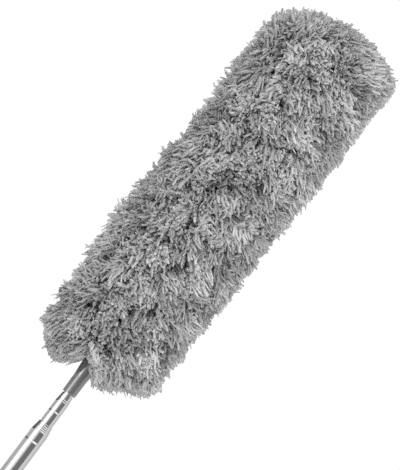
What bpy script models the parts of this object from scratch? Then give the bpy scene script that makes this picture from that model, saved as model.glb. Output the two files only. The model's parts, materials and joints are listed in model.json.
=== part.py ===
"""Microfibre duster on a telescopic steel pole of three tubes, upright and pushed in.

Lengths are in metres. The pole's axis is Z, with the head at the top. The origin is on the
axis, at the middle of the hand grip. Heights of the head's pieces are counted from the
lower rim of its collar.
"""

import math
import random

import bmesh
import bpy
from mathutils import Vector

# Clearances
SEAT_GAP = 0.0003
RUN_GAP = 0.0002
CUT_OVERRUN = 0.002

# Facets
ROUND_SIDES = 28
SMALL_SIDES = 20
FULL_TURN = 2 * math.pi
SMOOTH_ANGLE = math.radians(35)

# Tubes
TUBE_WALL = 0.0005
OUTER_TUBE_RADIUS = 0.0084
MIDDLE_TUBE_RADIUS = 0.0063
TIP_TUBE_RADIUS = 0.00475
OUTER_TUBE_LENGTH = 0.400
MIDDLE_TUBE_SHOWS = 0.0324
TIP_TUBE_SHOWS = 0.0010

# Swaged necks of the outer and the middle tube
NECK_CONE_LENGTH = 0.0087
NECK_LIP_LENGTH = 0.0008
NECK_RING_COUNT = 4
NECK_RING_WIDTH = 0.0015
NECK_RING_DEPTH = 0.0003
NECK_RING_FIRST_SHARE = 0.18
NECK_RING_PITCH_SHARE = 0.21
CRIMP_BELOW_CONE = 0.0098
CRIMP_WIDTH = 0.0018
CRIMP_DEPTH = 0.0004

# Slide bushes at the lower ends of the moving tubes, each with its friction spring
BUSH_SKIRT_LENGTH = 0.024
BUSH_SPIGOT_LENGTH = 0.012
BUSH_BORE_RADIUS = 0.0018
BUSH_EDGE = 0.0006
SPRING_SEAT_BELOW = 0.007
SPRING_HEIGHT = 0.009
SPRING_THICKNESS = 0.0003
SPRING_ARC = math.radians(300)

# Hand grip
GRIP_LENGTH = 0.140
GRIP_RADIUS = 0.0122
GRIP_FRONT_RADIUS = 0.0104
GRIP_REAR_RADIUS = 0.0132
GRIP_EDGE = 0.0012
GRIP_TAPER_LENGTH = 0.016
GRIP_REAR_LENGTH = 0.006
GRIP_RIB_COUNT = 6
GRIP_RIB_PITCH = 0.0125
GRIP_GROOVE_WIDTH = 0.0030
GRIP_GROOVE_DEPTH = 0.0009

# Hanging cap in the lower end of the outer tube
CAP_PLUG_LENGTH = 0.026
CAP_FLANGE_THICKNESS = 0.004
CAP_FLANGE_EDGE = 0.001
TAB_WIDTH = 0.020
TAB_THICKNESS = 0.006
TAB_LENGTH = 0.028
TAB_HOLE_RADIUS = 0.0055
TAB_EDGE = 0.0008
TAB_ARC_STEPS = 12
RIVET_RADIUS = 0.0012
RIVET_ABOVE_RIM = 0.012

# Tip plug with the stud that the head screws on to
PLUG_SPIGOT_LENGTH = 0.018
PLUG_FLANGE_THICKNESS = 0.001
STUD_RADIUS = 0.0029
STUD_LENGTH = 0.0110
STUD_CHAMFER = 0.0006
PIN_RADIUS = 0.0008
PIN_BELOW_FLANGE = 0.009

# Collar of the head
COLLAR_LENGTH = 0.062
COLLAR_RIM_RADIUS = 0.0066
COLLAR_NECK_RADIUS = 0.0067
COLLAR_MOUTH_RADIUS = 0.0078
COLLAR_TOP_RADIUS = 0.0079
COLLAR_NECK_HEIGHT = 0.014
COLLAR_MOUTH_HEIGHT = 0.032
COLLAR_FLARE_STEPS = 6
COLLAR_EDGE = 0.0006
INSERT_WALL = 0.0012

# Bendable core of the head
WIRE_RADIUS = 0.00225
WIRE_GRIPPED = 0.021
WIRE_ABOVE_POCKET = 0.0019
BEND_HEIGHT = 0.120
BEND_HALF_LENGTH = 0.030
CORE_TUBE_TOP = 0.358
CORE_WIRE_SHORT = 0.008
CAP_SPIGOT_LENGTH = 0.006
CAP_ARC_STEPS = 5

# Pile: a knitted sleeve with its tufts
SLEEVE_WALL = 0.0015
HEM_BOTTOM = 0.0385
HEM_LENGTH = 0.0085
HEM_BAND_HEIGHT = 0.003
HEM_BAND_THICKNESS = 0.0012
HEM_BAND_BOTTOM = 0.0400
TUFT_COLUMN_COUNT = 14
TUFT_ROW_HEIGHT = 0.0125
DOME_ROW_COUNT = 2
PILE_SKIRT_INNER_RADIUS = 0.026
PILE_SKIRT_INNER_HEIGHT = 0.026
PILE_SKIRT_RADIUS = 0.050
PILE_BOTTOM = 0.013
PILE_LOWER_RADIUS = 0.0605
PILE_UPPER_RADIUS = 0.0630
PILE_LOWER_CORNER = 0.011
PILE_SHOULDER = 0.032
PILE_TOP = 0.411
ENVELOPE_ARC_STEPS = 10
TUFT_RING_SHARES = ((0.62, 0.72), (1.0, 0.26))
TUFT_LENGTH_SPREAD_SHARE = 0.07
TUFT_SEED = 7

# Places that follow from the sizes above
GRIP_TOP = GRIP_LENGTH / 2
GRIP_BOTTOM = -GRIP_LENGTH / 2
OUTER_TUBE_BORE = OUTER_TUBE_RADIUS - TUBE_WALL
MIDDLE_TUBE_BORE = MIDDLE_TUBE_RADIUS - TUBE_WALL
TIP_TUBE_BORE = TIP_TUBE_RADIUS - TUBE_WALL
OUTER_TUBE_BOTTOM = GRIP_BOTTOM
OUTER_TUBE_TOP = OUTER_TUBE_BOTTOM + OUTER_TUBE_LENGTH
MIDDLE_TUBE_TOP = OUTER_TUBE_TOP + MIDDLE_TUBE_SHOWS
COLLAR_BOTTOM = MIDDLE_TUBE_TOP + TIP_TUBE_SHOWS
INSERT_LENGTH = STUD_LENGTH + RUN_GAP
WIRE_BOTTOM = COLLAR_BOTTOM + COLLAR_LENGTH - WIRE_GRIPPED
POCKET_TOP = WIRE_BOTTOM - WIRE_ABOVE_POCKET
SOCKET_TOP = POCKET_TOP - SEAT_GAP - INSERT_LENGTH - SEAT_GAP
CAP_PLUG_TOP = OUTER_TUBE_BOTTOM + CAP_PLUG_LENGTH
MIDDLE_BUSH_BOTTOM = CAP_PLUG_TOP + SEAT_GAP
MIDDLE_TUBE_BOTTOM = MIDDLE_BUSH_BOTTOM + BUSH_SKIRT_LENGTH + SEAT_GAP
TIP_BUSH_BOTTOM = MIDDLE_BUSH_BOTTOM + BUSH_SKIRT_LENGTH + BUSH_SPIGOT_LENGTH + SEAT_GAP
TIP_TUBE_BOTTOM = TIP_BUSH_BOTTOM + BUSH_SKIRT_LENGTH + SEAT_GAP
TIP_TUBE_TOP = SOCKET_TOP - PLUG_FLANGE_THICKNESS - SEAT_GAP
BEND_TOP = COLLAR_BOTTOM + BEND_HEIGHT + BEND_HALF_LENGTH
CORE_RADIUS = COLLAR_TOP_RADIUS
CORE_BORE = WIRE_RADIUS + SEAT_GAP
CORE_TOP = COLLAR_BOTTOM + CORE_TUBE_TOP
SLEEVE_BORE = (CORE_RADIUS + SEAT_GAP) / math.cos(math.pi / TUFT_COLUMN_COUNT)
SLEEVE_RADIUS = SLEEVE_BORE + SLEEVE_WALL
DOME_BASE = CORE_TOP + 3 * SEAT_GAP
TUFTS_BOTTOM = COLLAR_BOTTOM + HEM_BOTTOM + HEM_LENGTH


def clear_scene():
    """Start from an empty scene."""
    for old in list(bpy.data.objects):
        bpy.data.objects.remove(old, do_unlink=True)


def finish(name, colour, roughness, metallic=0.0):
    """A plain surface of the part's colour."""
    material = bpy.data.materials.new(name)
    material.use_nodes = True
    shader = material.node_tree.nodes["Principled BSDF"]
    shader.inputs["Base Color"].default_value = (*colour, 1.0)
    shader.inputs["Roughness"].default_value = roughness
    shader.inputs["Metallic"].default_value = metallic
    return material


def add_object(name, bm, material, carrier=None):
    """Turn a bmesh into the named object, and hang it on the empty that carries it."""
    bmesh.ops.recalc_face_normals(bm, faces=bm.faces)
    mesh = bpy.data.meshes.new(name)
    bm.to_mesh(mesh)
    bm.free()
    mesh.shade_smooth()
    mesh.set_sharp_from_angle(angle=SMOOTH_ANGLE)
    mesh.materials.append(material)
    piece = bpy.data.objects.new(name, mesh)
    bpy.context.collection.objects.link(piece)
    if carrier is not None:
        mesh.transform(carrier.matrix_world.inverted())
        piece.parent = carrier
    return piece


def add_carrier(name, height):
    """An empty on the pole's axis that one moving group hangs on."""
    carrier = bpy.data.objects.new(name, None)
    carrier.location = (0, 0, height)
    bpy.context.collection.objects.link(carrier)
    bpy.context.view_layer.update()
    return carrier


def turn(outline, sides=ROUND_SIDES, sweep=FULL_TURN):
    """Turn a closed outline of (radius, height) points about Z."""
    bm = bmesh.new()
    verts = [bm.verts.new((radius, 0, height)) for radius, height in outline]
    whole = sweep == FULL_TURN
    if whole:
        pairs = zip(verts, verts[1:] + verts[:1], strict=True)
        drawn = [bm.edges.new(pair) for pair in pairs if any(vert.co.x > 0 for vert in pair)]
    else:
        drawn = [bm.faces.new(verts)]
    bmesh.ops.spin(
        bm,
        geom=verts + drawn,
        cent=(0, 0, 0),
        axis=(0, 0, 1),
        angle=sweep,
        steps=sides,
        use_merge=whole,
    )
    bmesh.ops.remove_doubles(bm, verts=bm.verts, dist=SEAT_GAP / 100)
    return bm


def ring_outline(inner, outer, bottom, top, edge=0):
    """Outline of a plain ring, with its outer edges broken where edge is given."""
    if not edge:
        return [(outer, top), (outer, bottom), (inner, bottom), (inner, top)]
    return [
        (outer - edge, top),
        (outer, top - edge),
        (outer, bottom + edge),
        (outer - edge, bottom),
        (inner, bottom),
        (inner, top),
    ]


def rod_outline(radius, bottom, top):
    """Outline of a solid rod."""
    return [(0, top), (radius, top), (radius, bottom), (0, bottom)]


def drill(piece, radius, height, reach):
    """Cut a cross hole along X through a piece."""
    bm = bmesh.new()
    bmesh.ops.create_cone(
        bm,
        cap_ends=True,
        segments=SMALL_SIDES,
        radius1=radius,
        radius2=radius,
        depth=reach,
    )
    cutter = add_object(piece.name + "_drill", bm, piece.active_material)
    cutter.rotation_euler = (0, math.radians(90), 0)
    cutter.location = (0, 0, height)
    cutter.hide_render = True
    cutter.display_type = "WIRE"
    hole = piece.modifiers.new("cross hole", "BOOLEAN")
    hole.operation = "DIFFERENCE"
    hole.solver = "EXACT"
    hole.object = cutter


def cross_pin(name, radius, length, height, material, carrier=None):
    """A pin across the pole, along X."""
    bm = bmesh.new()
    bmesh.ops.create_cone(
        bm,
        cap_ends=True,
        segments=SMALL_SIDES,
        radius1=radius,
        radius2=radius,
        depth=length,
    )
    pin = add_object(name, bm, material)
    pin.rotation_euler = (0, math.radians(90), 0)
    if carrier is None:
        pin.location = (0, 0, height)
    else:
        pin.parent = carrier
        pin.location = (0, 0, height - carrier.location.z)
    return pin


def crimp_height(lip_top):
    """Height of the middle of the crimp below a tube's neck."""
    return lip_top - NECK_LIP_LENGTH - NECK_CONE_LENGTH - CRIMP_BELOW_CONE


def crimp_points(radius, height):
    """A rolled crimp on a tube's wall, from its top to its bottom."""
    half = CRIMP_WIDTH / 2
    return [
        (radius, height + half),
        (radius - CRIMP_DEPTH, height + half / 2),
        (radius - CRIMP_DEPTH, height - half / 2),
        (radius, height - half),
    ]


def neck_rings(lip_radius, radius, cone_top, cone_bottom):
    """The fine rings rolled into the neck's cone, from its top to its bottom."""
    points = []
    half_share = NECK_RING_WIDTH / NECK_CONE_LENGTH / 2
    for ring in range(NECK_RING_COUNT):
        middle_share = NECK_RING_FIRST_SHARE + ring * NECK_RING_PITCH_SHARE
        for side in (-1, 0, 1):
            share = middle_share + side * half_share
            reach = lip_radius + (radius - lip_radius) * share
            depth = NECK_RING_DEPTH if side == 0 else 0
            points.append((reach - depth, cone_top + (cone_bottom - cone_top) * share))
    return points


def swaged_tube(radius, bottom, top, passes_radius):
    """A tube whose upper end is drawn in round the next tube."""
    lip_bore = passes_radius + RUN_GAP
    lip_radius = lip_bore + TUBE_WALL
    cone_top = top - NECK_LIP_LENGTH
    cone_bottom = cone_top - NECK_CONE_LENGTH
    bore = radius - TUBE_WALL
    outline = [(lip_bore, top), (lip_radius - TUBE_WALL / 3, top)]
    outline += [(lip_radius, top - TUBE_WALL / 2), (lip_radius, cone_top)]
    outline += neck_rings(lip_radius, radius, cone_top, cone_bottom)
    outline += [(radius, cone_bottom)]
    outline += crimp_points(radius, crimp_height(top))
    outline += [(radius, bottom), (bore, bottom)]
    outline += reversed(crimp_points(bore, crimp_height(top)))
    outline += [(bore, cone_bottom - TUBE_WALL), (lip_bore, cone_top - TUBE_WALL)]
    return turn(outline)


def neck_bush(tube_bore, passes_radius, lip_top):
    """The guide bush that a tube's crimp holds up against its cone."""
    bottom = crimp_height(lip_top) + CRIMP_WIDTH / 2 + SEAT_GAP
    top = lip_top - NECK_LIP_LENGTH - NECK_CONE_LENGTH - TUBE_WALL - SEAT_GAP
    return turn(ring_outline(passes_radius + RUN_GAP, tube_bore - SEAT_GAP, bottom, top))


def slide_bush(slides_in_bore, carries_bore, bottom):
    """The bush on a moving tube's lower end: a skirt with a spring seat, and a spigot."""
    skirt = slides_in_bore - RUN_GAP
    seat = skirt - SPRING_THICKNESS - 2 * SEAT_GAP
    skirt_top = bottom + BUSH_SKIRT_LENGTH
    seat_low = bottom + SPRING_SEAT_BELOW
    seat_high = seat_low + SPRING_HEIGHT
    spigot = carries_bore - SEAT_GAP
    outline = [(BUSH_BORE_RADIUS, skirt_top + BUSH_SPIGOT_LENGTH)]
    outline += [(spigot, skirt_top + BUSH_SPIGOT_LENGTH), (spigot, skirt_top)]
    outline += [(skirt, skirt_top), (skirt, seat_high), (seat, seat_high)]
    outline += [(seat, seat_low), (skirt, seat_low), (skirt, bottom + BUSH_EDGE)]
    outline += [(skirt - BUSH_EDGE, bottom), (BUSH_BORE_RADIUS, bottom)]
    return turn(outline, SMALL_SIDES)


def friction_spring(slides_in_bore, bush_bottom):
    """The split spring band in a slide bush's seat."""
    outer = slides_in_bore - RUN_GAP - SEAT_GAP / 2
    low = bush_bottom + SPRING_SEAT_BELOW + SEAT_GAP
    high = bush_bottom + SPRING_SEAT_BELOW + SPRING_HEIGHT - SEAT_GAP
    outline = ring_outline(outer - SPRING_THICKNESS, outer, low, high)
    return turn(outline, SMALL_SIDES, SPRING_ARC)


def grip_outline():
    """Outline of the hand grip, with its rear flare, finger rings and front taper."""
    bore = OUTER_TUBE_RADIUS + SEAT_GAP
    outline = [(bore, GRIP_TOP), (GRIP_FRONT_RADIUS - GRIP_EDGE, GRIP_TOP)]
    outline += [(GRIP_FRONT_RADIUS, GRIP_TOP - GRIP_EDGE), (GRIP_RADIUS, GRIP_TOP - GRIP_TAPER_LENGTH)]
    first = (GRIP_RIB_COUNT - 1) * GRIP_RIB_PITCH / 2
    for rib in range(GRIP_RIB_COUNT):
        middle = first - rib * GRIP_RIB_PITCH
        outline.append((GRIP_RADIUS, middle + GRIP_GROOVE_WIDTH / 2))
        outline.append((GRIP_RADIUS - GRIP_GROOVE_DEPTH, middle))
        outline.append((GRIP_RADIUS, middle - GRIP_GROOVE_WIDTH / 2))
    flare_top = GRIP_BOTTOM + GRIP_REAR_LENGTH
    outline += [(GRIP_RADIUS, flare_top + GRIP_REAR_LENGTH), (GRIP_REAR_RADIUS, flare_top)]
    outline += [(GRIP_REAR_RADIUS, GRIP_BOTTOM + GRIP_EDGE), (GRIP_REAR_RADIUS - GRIP_EDGE, GRIP_BOTTOM)]
    outline += [(bore, GRIP_BOTTOM)]
    return outline


def tab_mesh(top):
    """The flat hanging tab with its round end, from its root at top downwards."""
    bm = bmesh.new()
    half = TAB_WIDTH / 2
    centre = top - TAB_LENGTH + half
    points = [(half, top)]
    for step in range(TAB_ARC_STEPS + 1):
        angle = math.pi * step / TAB_ARC_STEPS
        points.append((half * math.cos(angle), centre - half * math.sin(angle)))
    points.append((-half, top))
    verts = [bm.verts.new((x, -TAB_THICKNESS / 2, z)) for x, z in points]
    face = bm.faces.new(verts)
    raised = bmesh.ops.extrude_face_region(bm, geom=[face])["geom"]
    moved = [part for part in raised if isinstance(part, bmesh.types.BMVert)]
    bmesh.ops.translate(bm, verts=moved, vec=(0, TAB_THICKNESS, 0))
    bmesh.ops.recalc_face_normals(bm, faces=bm.faces)
    rim = [edge for edge in bm.edges if not is_across(edge) and edge.calc_face_angle() > SMOOTH_ANGLE]
    rim = [edge for edge in rim if min(vert.co.z for vert in edge.verts) < top - CUT_OVERRUN]
    bmesh.ops.bevel(
        bm,
        geom=rim,
        offset=TAB_EDGE,
        segments=1,
        profile=0.5,
        affect="EDGES",
        material=-1,
    )
    return bm


def is_across(edge):
    """True for an edge that runs through the tab's thickness."""
    return abs(edge.verts[0].co.y - edge.verts[1].co.y) > TAB_THICKNESS / 2


def hanging_cap(material):
    """The cap: a plug in the tube's end, a flange below the grip and a tab with a hole."""
    plug = OUTER_TUBE_BORE - SEAT_GAP
    flange_top = OUTER_TUBE_BOTTOM - SEAT_GAP
    flange_bottom = flange_top - CAP_FLANGE_THICKNESS
    flange = GRIP_REAR_RADIUS - CAP_FLANGE_EDGE
    outline = [(0, CAP_PLUG_TOP), (plug - BUSH_EDGE, CAP_PLUG_TOP), (plug, CAP_PLUG_TOP - BUSH_EDGE)]
    outline += [(plug, flange_top), (flange, flange_top), (flange, flange_bottom + CAP_FLANGE_EDGE)]
    outline += [(flange - CAP_FLANGE_EDGE, flange_bottom), (0, flange_bottom)]
    cap = add_object("hang_cap", turn(outline), material)
    tab = add_object("hang_tab_form", tab_mesh(flange_bottom + CAP_FLANGE_THICKNESS / 2), material)
    bm = bmesh.new()
    bmesh.ops.create_cone(
        bm,
        cap_ends=True,
        segments=ROUND_SIDES,
        radius1=TAB_HOLE_RADIUS,
        radius2=TAB_HOLE_RADIUS,
        depth=TAB_THICKNESS + 2 * CUT_OVERRUN,
    )
    hole = add_object("hang_hole_form", bm, material)
    hole.rotation_euler = (math.radians(90), 0, 0)
    tab_centre = flange_bottom + CAP_FLANGE_THICKNESS / 2 - TAB_LENGTH + TAB_WIDTH / 2
    hole.location = (0, 0, tab_centre)
    for form, operation in ((tab, "UNION"), (hole, "DIFFERENCE")):
        form.hide_render = True
        form.display_type = "WIRE"
        step = cap.modifiers.new(form.name, "BOOLEAN")
        step.operation = operation
        step.solver = "EXACT"
        step.object = form
    return cap


def tip_plug_outline():
    """Outline of the plug in the tip tube, with its flange and the head's stud."""
    flange_bottom = TIP_TUBE_TOP + SEAT_GAP
    stud_top = SOCKET_TOP + STUD_LENGTH
    spigot = TIP_TUBE_BORE - SEAT_GAP
    outline = [(0, stud_top), (STUD_RADIUS - STUD_CHAMFER, stud_top)]
    outline += [(STUD_RADIUS, stud_top - STUD_CHAMFER), (STUD_RADIUS, SOCKET_TOP)]
    outline += [(TIP_TUBE_RADIUS, SOCKET_TOP), (TIP_TUBE_RADIUS, flange_bottom)]
    outline += [(spigot, flange_bottom), (spigot, flange_bottom - PLUG_SPIGOT_LENGTH)]
    outline += [(0, flange_bottom - PLUG_SPIGOT_LENGTH)]
    return outline


def insert_radius():
    """Outer radius of the threaded insert."""
    return STUD_RADIUS + RUN_GAP + INSERT_WALL


def collar_flare():
    """The collar's smooth flare, from its mouth at the hem down to its narrow neck."""
    points = []
    for step in range(COLLAR_FLARE_STEPS + 1):
        share = step / COLLAR_FLARE_STEPS
        ease = (1 - math.cos(math.pi * share)) / 2
        radius = COLLAR_MOUTH_RADIUS + (COLLAR_NECK_RADIUS - COLLAR_MOUTH_RADIUS) * ease
        height = COLLAR_MOUTH_HEIGHT + (COLLAR_NECK_HEIGHT - COLLAR_MOUTH_HEIGHT) * share
        points.append((radius, COLLAR_BOTTOM + height))
    return points


def collar_outline():
    """Outline of the collar: flared outside, with the pole's socket, the insert's pocket
    and the wire's hole inside."""
    top = COLLAR_BOTTOM + COLLAR_LENGTH
    socket = TIP_TUBE_RADIUS + SEAT_GAP
    pocket = insert_radius() + SEAT_GAP
    outline = [(CORE_BORE, top), (COLLAR_TOP_RADIUS - COLLAR_EDGE, top)]
    outline += [(COLLAR_TOP_RADIUS, top - COLLAR_EDGE), (COLLAR_TOP_RADIUS, COLLAR_BOTTOM + HEM_BOTTOM)]
    outline += collar_flare()
    outline += [(COLLAR_RIM_RADIUS, COLLAR_BOTTOM + COLLAR_EDGE)]
    outline += [(COLLAR_RIM_RADIUS - COLLAR_EDGE, COLLAR_BOTTOM), (socket, COLLAR_BOTTOM)]
    outline += [(socket, SOCKET_TOP), (pocket, SOCKET_TOP), (pocket, POCKET_TOP)]
    outline += [(CORE_BORE, POCKET_TOP)]
    return outline


def core_cap_outline():
    """Outline of the domed cap on the core's tip, with its spigot in the core tube."""
    bottom = CORE_TOP + SEAT_GAP
    outline = []
    for step in range(CAP_ARC_STEPS + 1):
        angle = math.radians(90) * (1 - step / CAP_ARC_STEPS)
        radius = CORE_RADIUS * math.cos(angle) if step else 0
        outline.append((radius, bottom + CORE_RADIUS * math.sin(angle)))
    outline += [(WIRE_RADIUS, bottom), (WIRE_RADIUS, bottom - CAP_SPIGOT_LENGTH)]
    outline += [(0, bottom - CAP_SPIGOT_LENGTH)]
    return outline


def arc(centre, radii, start, end, steps):
    """Points of (radius, height) on an elliptical arc."""
    points = []
    for step in range(steps + 1):
        angle = math.radians(start + (end - start) * step / steps)
        points.append((centre[0] + radii[0] * math.cos(angle), centre[1] + radii[1] * math.sin(angle)))
    return points


def envelope():
    """The line that the tufts' tips reach: the skirt, the side and the rounded top."""
    low = COLLAR_BOTTOM + PILE_BOTTOM
    line = [(PILE_SKIRT_INNER_RADIUS, COLLAR_BOTTOM + PILE_SKIRT_INNER_HEIGHT)]
    corner = (PILE_SKIRT_RADIUS, low + PILE_LOWER_CORNER)
    corner_radii = (PILE_LOWER_RADIUS - PILE_SKIRT_RADIUS, PILE_LOWER_CORNER)
    line += arc(corner, corner_radii, -90, 0, ENVELOPE_ARC_STEPS)
    shoulder = (0, COLLAR_BOTTOM + PILE_TOP - PILE_SHOULDER)
    line += arc(shoulder, (PILE_UPPER_RADIUS, PILE_SHOULDER), 0, 90, ENVELOPE_ARC_STEPS)
    return line


def along(line, share):
    """The point at a share of a line's length."""
    spans = [math.dist(a, b) for a, b in zip(line, line[1:], strict=False)]
    left = share * sum(spans)
    for a, b, span in zip(line, line[1:], spans, strict=False):
        if left <= span:
            part_share = left / span
            return (a[0] + (b[0] - a[0]) * part_share, a[1] + (b[1] - a[1]) * part_share)
        left -= span
    return line[-1]


def sleeve_length():
    """Length of the sleeve's tufted outer line, from the hem over the dome to its top."""
    return DOME_BASE - TUFTS_BOTTOM + SLEEVE_RADIUS * math.radians(90)


def root_share(point):
    """How far along the sleeve's outer line a point on it lies, from 0 to 1."""
    if point.z <= DOME_BASE:
        run = point.z - TUFTS_BOTTOM
    else:
        rise = min(1.0, (point.z - DOME_BASE) / SLEEVE_RADIUS)
        run = DOME_BASE - TUFTS_BOTTOM + SLEEVE_RADIUS * math.asin(rise)
    return run / sleeve_length()


def tip_of(root, line):
    """Where the envelope lies over a point of the sleeve."""
    radius, height = along(line, root_share(root))
    out = Vector((root.x, root.y, 0))
    if out.length < SEAT_GAP:
        return Vector((0, 0, height))
    return out.normalized() * radius + Vector((0, 0, height))


def place_key(point):
    """Sorts points by height and then by angle, so that each build draws them alike."""
    return (round(point.z / SEAT_GAP), math.atan2(point.y, point.x))


def stray_point(corners, rng):
    """A point somewhere inside a cell, most often well off its middle."""
    weights = {}
    for corner in sorted(range(len(corners)), key=lambda n: place_key(corners[n])):
        weights[corner] = rng.random() ** 2
    total = sum(weights.values())
    return sum((corners[n] * weight for n, weight in weights.items()), Vector()) / total


def raise_tufts(bm, cells):
    """Draw each cell of the sleeve out into one four-sided tuft, or three-sided at the top.
    Each stays inside its own cell, so that no two cross."""
    rng = random.Random(TUFT_SEED)
    line = envelope()
    for cell in sorted(cells, key=lambda face: place_key(face.calc_center_median())):
        roots = [vert.co.copy() for vert in cell.verts]
        tips = [tip_of(root, line) for root in roots]
        reach = 1 - TUFT_LENGTH_SPREAD_SHARE * rng.random()
        astray = stray_point(tips, rng) - sum(tips, Vector()) / len(tips)
        for reach_share, width_share in TUFT_RING_SHARES:
            cell = bmesh.ops.extrude_discrete_faces(bm, faces=[cell])["faces"][0]
            ends = zip(roots, tips, strict=True)
            level = [root.lerp(tip, reach_share * reach) for root, tip in ends]
            middle = sum(level, Vector()) / len(level)
            lean = astray * reach_share * reach * (1 - width_share)
            for vert, corner in zip(cell.verts, level, strict=True):
                vert.co = middle + (corner - middle) * width_share + lean


def sleeve(bottom, top, domed, hemmed):
    """One length of the pile: its slice of the sleeve, with its tufts."""
    tufted_from = TUFTS_BOTTOM if hemmed else bottom
    straight_top = DOME_BASE if domed else top
    rows = round((straight_top - tufted_from) / TUFT_ROW_HEIGHT)
    outline = []
    if domed:
        outline += arc((0, DOME_BASE), (SLEEVE_RADIUS, SLEEVE_RADIUS), 90, 0, DOME_ROW_COUNT)[:-1]
        outline[0] = (0, outline[0][1])
    for row in range(rows + 1):
        outline.append((SLEEVE_RADIUS, straight_top + (tufted_from - straight_top) * row / rows))
    if hemmed:
        outline.append((SLEEVE_RADIUS, bottom))
    outline.append((SLEEVE_BORE, bottom))
    if domed:
        inner = arc((0, DOME_BASE), (SLEEVE_BORE, SLEEVE_BORE), 0, 90, DOME_ROW_COUNT + 1)
        outline += inner[:-1] + [(0, inner[-1][1])]
    else:
        outline.append((SLEEVE_BORE, top))
    bm = turn(outline, TUFT_COLUMN_COUNT)
    bmesh.ops.recalc_face_normals(bm, faces=bm.faces)
    bm.faces.ensure_lookup_table()
    cells = [face for face in bm.faces if carries_tuft(face, tufted_from)]
    raise_tufts(bm, cells)
    return bm


def carries_tuft(face, tufted_from):
    """True for a face of the sleeve's outer side above its hem."""
    middle = face.calc_center_median()
    if middle.z < tufted_from:
        return False
    out = Vector((middle.x, middle.y, max(0, middle.z - DOME_BASE)))
    nearer_outside = out.length > (SLEEVE_BORE + SLEEVE_RADIUS) / 2 * math.cos(math.pi / TUFT_COLUMN_COUNT)
    return nearer_outside and face.normal.dot(out) > 0 and abs(face.normal.dot(out)) > out.length / 2


def make_handle(steel, bush_plastic, grip_plastic):
    """The outer tube and what is fixed to it."""
    outer_tube = add_object(
        "outer_tube",
        swaged_tube(OUTER_TUBE_RADIUS, OUTER_TUBE_BOTTOM, OUTER_TUBE_TOP, MIDDLE_TUBE_RADIUS),
        steel,
    )
    guide = neck_bush(OUTER_TUBE_BORE, MIDDLE_TUBE_RADIUS, OUTER_TUBE_TOP)
    add_object("outer_neck_bush", guide, bush_plastic)
    add_object("hand_grip", turn(grip_outline()), grip_plastic)
    cap = hanging_cap(grip_plastic)
    rivet_height = OUTER_TUBE_BOTTOM + RIVET_ABOVE_RIM
    for piece in (outer_tube, cap):
        drill(piece, RIVET_RADIUS + SEAT_GAP, rivet_height, 2 * (OUTER_TUBE_RADIUS + CUT_OVERRUN))
    rivet_length = 2 * (OUTER_TUBE_RADIUS - SEAT_GAP)
    cross_pin("cap_rivet", RIVET_RADIUS, rivet_length, rivet_height, steel)


def make_middle_stage(steel, bush_plastic, spring_steel):
    """The middle tube, which slides in the outer tube."""
    carrier = add_carrier("middle_stage", OUTER_TUBE_TOP)
    tube = swaged_tube(MIDDLE_TUBE_RADIUS, MIDDLE_TUBE_BOTTOM, MIDDLE_TUBE_TOP, TIP_TUBE_RADIUS)
    add_object("middle_tube", tube, steel, carrier)
    guide = neck_bush(MIDDLE_TUBE_BORE, TIP_TUBE_RADIUS, MIDDLE_TUBE_TOP)
    add_object("middle_neck_bush", guide, bush_plastic, carrier)
    bush = slide_bush(OUTER_TUBE_BORE, MIDDLE_TUBE_BORE, MIDDLE_BUSH_BOTTOM)
    add_object("middle_slide_bush", bush, bush_plastic, carrier)
    spring = friction_spring(OUTER_TUBE_BORE, MIDDLE_BUSH_BOTTOM)
    add_object("middle_friction_spring", spring, spring_steel, carrier)


def make_tip_stage(steel, bush_plastic, spring_steel):
    """The tip tube, which slides in the middle tube, and the plug that the head screws on to."""
    carrier = add_carrier("tip_stage", MIDDLE_TUBE_TOP)
    tube_outline = ring_outline(TIP_TUBE_BORE, TIP_TUBE_RADIUS, TIP_TUBE_BOTTOM, TIP_TUBE_TOP)
    tip_tube = add_object("tip_tube", turn(tube_outline), steel, carrier)
    bush = slide_bush(MIDDLE_TUBE_BORE, TIP_TUBE_BORE, TIP_BUSH_BOTTOM)
    add_object("tip_slide_bush", bush, bush_plastic, carrier)
    spring = friction_spring(MIDDLE_TUBE_BORE, TIP_BUSH_BOTTOM)
    add_object("tip_friction_spring", spring, spring_steel, carrier)
    plug = add_object("tip_plug", turn(tip_plug_outline(), SMALL_SIDES), bush_plastic, carrier)
    pin_height = TIP_TUBE_TOP - PIN_BELOW_FLANGE
    for piece in (tip_tube, plug):
        drill(piece, PIN_RADIUS + SEAT_GAP, pin_height, 2 * (TIP_TUBE_RADIUS + CUT_OVERRUN))
    pin_length = 2 * (TIP_TUBE_RADIUS - SEAT_GAP)
    cross_pin("plug_pin", PIN_RADIUS, pin_length, pin_height, steel, carrier)


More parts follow.
